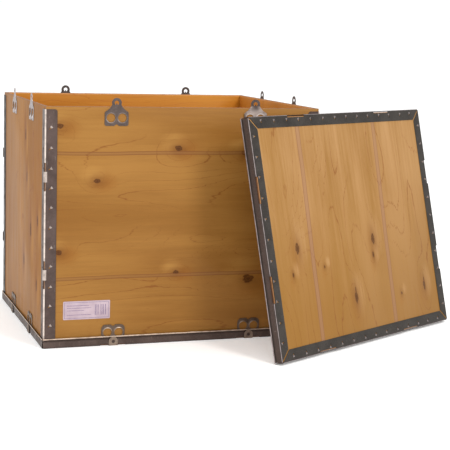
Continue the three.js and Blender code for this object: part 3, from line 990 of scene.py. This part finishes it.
EYE, EYE_OFFSET = 9.0, 11.7
PLATE_HALF, PLATE_FOOT = 24.5, 16.0
NOTCH_HALF, NOTCH_DEPTH = 4.5, 3.5
NECK_HALF, NECK_START = 9.6, 24.0
HEAD, HEAD_CENTRE, HEAD_HOLE = 10.0, 29.7, 4.5
TOP_ROWS = (28.0, 28.3, 28.6, 28.9, 29.2, 29.5)  # divisions across the bend of a top tongue
TOP_FLARE, BOTTOM_FLARE = 1.8, 0.9
# the last: a faint painted highlight over every tongue plate
SHOULDER_FOLD, BOTTOM_CORNER, PLATE_PAINTED_HIGHLIGHT = 17.0, 9.0, 0.1
FOOT_TURN, FOOT_RADIUS, FOOT_HOLE = 1.6, 1.0, 3.5
DISH_RIMS, DISH_DEPTH = (5.0, 6.2), 0.25


def bezier(a, b, c, d, steps=8):
    points = []
    for i in range(steps + 1):
        t = i / steps
        k = 1 - t
        weights = (k ** 3, 3 * k * k * t, 3 * k * t * t, t ** 3)
        spots = zip(*(a, b, c, d))
        points.append(tuple(sum(w * v for w, v in zip(weights, values)) for values in spots))
    return points


def plate_edge(corner=4.0):
    """Right half of a plate, from its notch to its neck, measured from the eyes."""
    points = [(0, NOTCH_DEPTH - PLATE_FOOT)]
    points += arc((NOTCH_HALF + 0.5, 0.5 - PLATE_FOOT + 0.2), 0.7, 170, 270, 3)
    points += arc((PLATE_HALF - corner, corner - PLATE_FOOT), corner, -90, 0, 7)
    points += arc((PLATE_HALF - 3, 9.5), 3, 0, 70, 4)
    shoulder, neck = (PLATE_HALF - 2.2, 12.6), (NECK_HALF, NECK_START + 2)
    return points + bezier(shoulder, (PLATE_HALF - 7, 15.4), (NECK_HALF + 3, 19), neck)


def eye_relief(u, s, height):
    """How far the metal stands out near an eye, most below it, and how much painted highlight it
    gets.
    """
    for x in (EYE_OFFSET, -EYE_OFFSET):
        across, along = u - x, s
        away = math.hypot(across, along)
        if away < EYE + 3:
            near = max(0, 1 - (away - EYE) / 2.6)
            lower = max(0, -along / max(away, ON_EDGE))
            return height * near * near * (0.25 + 0.75 * lower), near * (0.15 + 0.85 * lower)
    return 0, 0


def eye_lines():
    """Circles round the eyes, and the eyes themselves."""
    eyes = (EYE_OFFSET, -EYE_OFFSET)
    circles = [ring((x, 0), EYE + r, 28) for x in eyes for r in (1.2, 2.6)]
    return [c + c[:1] for c in circles], [ring((x, 0), EYE, 28) for x in eyes]


def head_hole():
    low = HEAD_CENTRE - 3.6
    foot = [(-3.2, low), (-1.2, low), (-1.2, low + 2.4), (1.2, low + 2.4), (1.2, low), (3.2, low)]
    return arc((0, HEAD_CENTRE), HEAD_HOLE, 0, 180, 10) + foot


def add_top_tongue(node, side, material, shoulder):
    low, high = local_box(node, side)
    front = high.z
    along, eyes = (low.x + high.x) / 2, low.y + PLATE_FOOT
    half = plate_edge()
    head = arc((0, HEAD_CENTRE), HEAD, 0, 180, 14)
    outline = half + head + [(-x, y) for x, y in reversed(half[1:])]
    lines, cutters = eye_lines()
    lines += ruled(-30, 30, TOP_ROWS)
    lines += [[(x, -20), (x, 20)] for x in (-SHOULDER_FOLD, SHOULDER_FOLD)]

    def place(u, s, depth):
        relief, _ = eye_relief(u, s, TOP_FLARE)
        lifted = shoulder * max(0, abs(u) - SHOULDER_FOLD) * max(0, min(1, (s + 4) / 10))
        return Vector((along + u, eyes + s, front - depth + relief + lifted)) * MM

    def wear(u, s):
        # painted highlight: faint over the plate, strong on a bent tongue's upper part and round
        # the eyes, most below them
        bent = 3 * shoulder if s > 3 and s < 24 else 0
        return min(1, PLATE_PAINTED_HIGHLIGHT + bent + eye_relief(u, s, TOP_FLARE)[1])

    matrix, cutters = side_matrix(side), cutters + [head_hole()]
    piece = formed(f"{node}_plate", matrix, material, outline, cutters, lines, place, wear)
    hinge = Vector(joint(f"{node}_bend")["pos_m"])
    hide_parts(node, f"{node}_tip")
    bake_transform(piece)


def add_bottom_tongue(node, side, material):
    low, high = local_box(node, side)
    tip_high = local_box(f"{node}_tip", side)[1]
    along = (low.x + high.x) / 2
    eyes = high.y - PLATE_FOOT
    face = low.z + STEEL / 2
    matrix = side_matrix(side)
    half = plate_edge(BOTTOM_CORNER)
    foot = low.y
    points = [(face, eyes + PLATE_FOOT)]
    points += arc((face + FOOT_TURN, foot + FOOT_TURN), FOOT_TURN, 180, 270, 5)
    points += [(high.z - 0.4, foot)]
    path = Path(points, -1)
    head = [(NECK_HALF, path.total - PLATE_FOOT), (-NECK_HALF, path.total - PLATE_FOOT)]
    outline = half + head + [(-x, y) for x, y in reversed(half[1:])]
    lines, eye_holes = eye_lines()
    lines += ruled(-30, 30, [s - PLATE_FOOT for s in path.lengths[1:-1]])

    def place(u, s, depth):
        relief, _ = eye_relief(u, s, BOTTOM_FLARE)
        if s > 3:  # the rim's lip leaves no room
            relief *= 0.2
        point = path.at(s + PLATE_FOOT, depth)
        return Vector((along - u, point.y, point.x + relief)) * MM

    def wear(u, s):
        # painted highlight: faint over the plate, stronger round the eyes, most below them
        return min(1, PLATE_PAINTED_HIGHLIGHT + eye_relief(u, s, BOTTOM_FLARE)[1])

    name = f"{node}_plate"
    piece = formed(name, matrix, material, outline, eye_holes, lines, place, wear, (), -STEEL)
    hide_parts(node)
    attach(piece, "crate")
    add_folded_tip(node, along, foot, high.z - 0.6, tip_high, material, matrix)


def add_folded_tip(node, along, foot, start, tip_high, material, matrix):
    turn = (tip_high.z - FOOT_RADIUS, foot + FOOT_RADIUS)
    points = [(start, foot)] + arc(turn, FOOT_RADIUS, -90, 0, 6) + [(tip_high.z, tip_high.y)]
    path = Path(points, 1)
    centre = path.total - HEAD
    outline = [(NECK_HALF, 0)] + arc((0, centre), NECK_HALF, 0, 180, 16) + [(-NECK_HALF, 0)]
    hole = ring((0, centre), FOOT_HOLE, 16)
    dish = [ring((0, centre), radius, 20) for radius in DISH_RIMS]
    lines = ruled(-30, 30, path.lengths[1:-1]) + [r + r[:1] for r in dish]
    outer_rim = DISH_RIMS[1]

    def place(u, s, depth):
        point = path.at(s, depth)
        away = math.hypot(u, s - centre)
        pressed = 0.0
        if FOOT_HOLE - 0.1 <= away <= outer_rim:
            pressed = -DISH_DEPTH * min(1, (outer_rim - away) / (outer_rim - DISH_RIMS[0]))
        return Vector((along + u, point.y, point.x + pressed)) * MM

    def wear(u, s):
        # painted highlight: fainter where the fold starts, stronger over its bend and head
        return 0.45 if s > path.lengths[1] else 0.3

    piece = formed(f"{node}_fold", matrix, material, outline, [hole], lines, place, wear)
    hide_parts(f"{node}_tip")
    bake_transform(piece)


# ---- label ----

PAPER = rgb(166, 146, 156), rgb(182, 163, 172)
INK = rgb(84, 70, 108)
BORDER_INSETS = (2.5, 3.3)  # millimetres
RULES = ((28, 0.55), (23, 0.6), (18, 0.45), (9, 0.6))  # level in millimetres, end as a share
RULE_WIDTH, RULE_START = 1.1, 0.08
BARS, BAR_LEVELS, BAR_SCALE = (0.66, 0.93), (8, 30), 520


def label_material():
    low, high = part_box("label")
    n = Nodes("label_print")
    place = n.vector("SUBTRACT", n.coordinates(), (low.x, 0, low.z))
    x, z = n.axis(place, "X"), n.axis(place, "Z")
    width, height = (high - low).x, (high - low).z

    def band(value, start, end):
        over = n.math("GREATER_THAN", value, start)
        return n.times(over, n.math("LESS_THAN", value, end))

    def block(left, right, bottom, top):
        return n.times(band(x, left, right), band(z, bottom, top))

    fibre = n.noise(n.scaled(place, 600, 600, 600), 1, 3)
    stain = n.noise(place, 40, 3)
    colour = n.blend(n.ramp(stain, 0.35, 0.7), *PAPER)
    inner, deeper = (
        block(inset * MM, width - inset * MM, inset * MM, height - inset * MM)
        for inset in BORDER_INSETS
    )
    ink = n.minus(inner, deeper)
    for level, end in RULES:
        rule = block(RULE_START * width, end * width, level * MM, (level + RULE_WIDTH) * MM)
        ink = n.most(ink, rule)
    along = n.combined(X=n.times(x, BAR_SCALE))
    bars = n.math("GREATER_THAN", n.noise(along, 1, 0), 0.52)
    barred = block(BARS[0] * width, BARS[1] * width, BAR_LEVELS[0] * MM, BAR_LEVELS[1] * MM)
    ink = n.most(ink, n.times(bars, barred))
    wear_or_painted_light = n.ramp(fibre, 0.35, 0.6, 0.5, 0.85)
    colour = n.blend(n.times(ink, wear_or_painted_light), colour, INK)
    return n.finish(colour, 0.38, fibre, 0.00008)


# ---- the crate ----

# In millimetres. Knots: along the grain, across it, radius and how far they are stretched.
# Seams: across the grain, slope, half width. Figures: along, across, length, width.
FRONT_KNOTS = (
    (-262, 449, 4), (-16, 404, 4.5), (-185, 339, 4), (-262, 196, 4),
    (-16, 148, 3.5), (144, 129, 7), (127, 395, 4),
)
FRONT_FIGURES = (
    (120, 187, 75, 16), (100, 115, 55, 12), (70, 168, 50, 12),
    (170, 197, 55, 12), (110, 235, 60, 14), (-120, 270, 90, 16),
)
FRONT_SEAMS = ((395,), (142,))
RIGHT_KNOTS = ((120, -140, 4), (300, 60, 5), (390, 170, 4), (210, -30, 3.5))
BACK_KNOTS = ((-190, 120, 5), (60, 300, 4.5), (210, 410, 4), (-70, 380, 4), (150, 190, 6))
BACK_SEAMS = ((330,), (170,))
LEFT_STRETCH = 2.6
LEFT_KNOTS = tuple(spot + (LEFT_STRETCH,) for spot in (
    (415, 33, 3.6), (327, 50, 3.2), (220, 95, 4.6), (144, 21, 4), (115, 163, 3.6), (250, 170, 3.6),
))
LID_KNOTS = (
    (26.5, -200, 4.5, 2.1), (32.5, 56, 4.2, 2.2), (148.5, -29, 4, 2.4), (154.5, 222, 3.4, 2.2),
    (77.5, -223, 2.2, 1.6), (72.5, -121, 1.6, 1.5), (160.5, 133, 1.8, 1.5), (66, 50, 2.4, 2.2),
    (134, -28, 1.5, 4.5), (141, 223, 1.3, 4),
)
LID_SEAMS = ((-152.5, -0.025, 6), (105, -0.033, 6))
BASE_KNOTS = ((-150, -90, 5), (90, 60, 6), (200, -150, 4))
BASE_SEAMS = ((80,), (-110,))


VENEERS = {  # light, dark, seed, whether the grain is upright, knots, seams, figures
    "front": ((151, 106, 48), (132, 88, 33), 1, False, FRONT_KNOTS, FRONT_SEAMS, FRONT_FIGURES),
    "right": ((158, 112, 50), (139, 93, 34), 2, True, RIGHT_KNOTS),
    "right_inner": ((188, 130, 58), (162, 104, 38), 2, True, RIGHT_KNOTS),
    "back": ((160, 114, 50), (141, 94, 34), 3, False, BACK_KNOTS, BACK_SEAMS),
    "back_inner": ((186, 126, 42), (166, 102, 25), 3, False, BACK_KNOTS, BACK_SEAMS),
    "left": ((158, 107, 47), (141, 93, 33), 4, True, LEFT_KNOTS),
    "lid": ((166, 127, 82), (139, 99, 45), 5, True, LID_KNOTS, LID_SEAMS),
    "base": ((190, 140, 76), (166, 114, 54), 6, False, BASE_KNOTS, BASE_SEAMS),
}
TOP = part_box("back_wall")[1].z
LOOKS = {  # the right and back walls are more orange inside
    "right_inner": {"warm": 0.35, "sanded": TOP},
    "back_inner": {"warm": 0.15, "sanded": TOP},
    # the lid's drift is painted shade, darker towards its lower end
    "lid": {"figure_strength": 0.75, "seam_strength": 0.55, "drift": 0.75, "halo": 0.35},
}
WALL_EDGE = rgb(160, 118, 86), rgb(134, 90, 56)
# the trays' ply edges are darker than the walls': painted shade in the recess inside the rims
TRAY_EDGE_PAINTED_SHADE = rgb(150, 100, 62), rgb(96, 60, 34)
BASE_PAINTED_LIGHT = (PAINTED_SHADE_LINE, 0.9)  # painted light of the fold and of the lip: a painted shade line under the fold, a painted highlight on the lip
# the lid's fold and lip both get painted highlights
LID_PAINTED_LIGHT = (0.8, 0.7)
DARK_CORNER = ("left", "back")  # nearly black in the photo
LID_RIMS = {"front": "upper", "right": "right", "back": "lower", "left": "left"}
BENT_SHOULDER = 0.3  # of the tongue that the lid has pushed out of shape
BASE_SEED, LID_SEED, WALL_SEED, STRIP_SEED = 10, 20, 30, 40
STEELS = {  # dull colour, bright colour for scratches and painted highlights, other settings
    "rim_steel_base": ((84, 71, 66), (206, 184, 166), {"mottle": 0.3}),
    # the lid rim is the base rim's steel, darker as painted shade, with a painted reflection
    # colour on its side flange
    "rim_steel_lid": ((62, 58, 54), (180, 166, 166), {"side": rgb(82, 66, 60)}),
    "strip_steel": ((84, 71, 67), (220, 206, 196), {"mottle": 0.15}),
    "strip_steel_shaded": ((34, 28, 26), (96, 84, 76), {"mottle": 0.2, "metallic": 0.3}),
    "tongue_steel": ((74, 63, 60), (180, 167, 161), {"rough": 0.5}),
    # a paler copy of the tongue steel: painted light on the left wall's top tongues
    "tongue_steel_painted_light": ((158, 148, 147), (228, 220, 218), {}),
    # a browner copy of the tongue steel: painted shade on the bottom tongues
    "tongue_steel_painted_shade": ((84, 68, 58), (176, 158, 142), {}),
}


def build():
    wood = {name: Veneer(name, *of).make(**LOOKS.get(name, {})) for name, of in VENEERS.items()}
    steel = {
        name: steel_material(name, rgb(*dull), rgb(*bright), **others)
        for name, (dull, bright, others) in STEELS.items()
    }
    low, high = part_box("base_panel")
    tray_edge_painted_shade = ply_edge("tray_ply_edge_painted_shade", high.z, high.z - low.z, *TRAY_EDGE_PAINTED_SHADE)
    names, metal = {side: side for side in SIDES}, steel["rim_steel_base"]
    add_tray("base", "crate", names, wood["base"], tray_edge_painted_shade, metal, BASE_PAINTED_LIGHT, BASE_SEED)
    metal = steel["rim_steel_lid"]
    add_tray("lid", "lid", LID_RIMS, wood["lid"], tray_edge_painted_shade, metal, LID_PAINTED_LIGHT, LID_SEED)
    for i, side in enumerate(SIDES):
        low, high = local_box(f"{side}_wall", side)
        edge = ply_edge(f"{side}_ply_edge", high.z * MM, (high.z - low.z) * MM, *WALL_EDGE)
        inner = [wood[f"{side}_inner"]] if f"{side}_inner" in wood else []
        materials, matrix = [wood[side], edge] + inner, side_matrix(side)
        piece = board(f"{side}_wall_board", matrix, low * MM, high * MM, materials, WALL_SEED + i)
        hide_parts(f"{side}_wall")
        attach(piece, "crate")
    order = list(SIDES)
    for i, side in enumerate(order):
        for hand in (1, -1):
            end = order[(i + hand) % len(order)]
            strip = steel["strip_steel_shaded" if (side, end) == DARK_CORNER else "strip_steel"]
            seed = STRIP_SEED + 2 * i + hand
            corner_strip(f"{side}_wall_corner_strip_{end}", side, hand, strip, seed)
            bent = BENT_SHOULDER if (side, end) == ("front", "right") else 0.0
            upper = steel["tongue_steel_painted_light" if side == "left" else "tongue_steel"]
            add_top_tongue(f"{side}_wall_top_tongue_{end}", side, upper, bent)
            lower = f"{side}_wall_bottom_tongue_{end}"
            add_bottom_tongue(lower, side, steel["tongue_steel_painted_shade"])
    sticker = frame["nodes"]["label"]
    for slot in sticker.material_slots:
        slot.material = label_material()


add_world()
add_camera()
add_floor()
for light in LIGHTS:
    add_area(*light)
build()
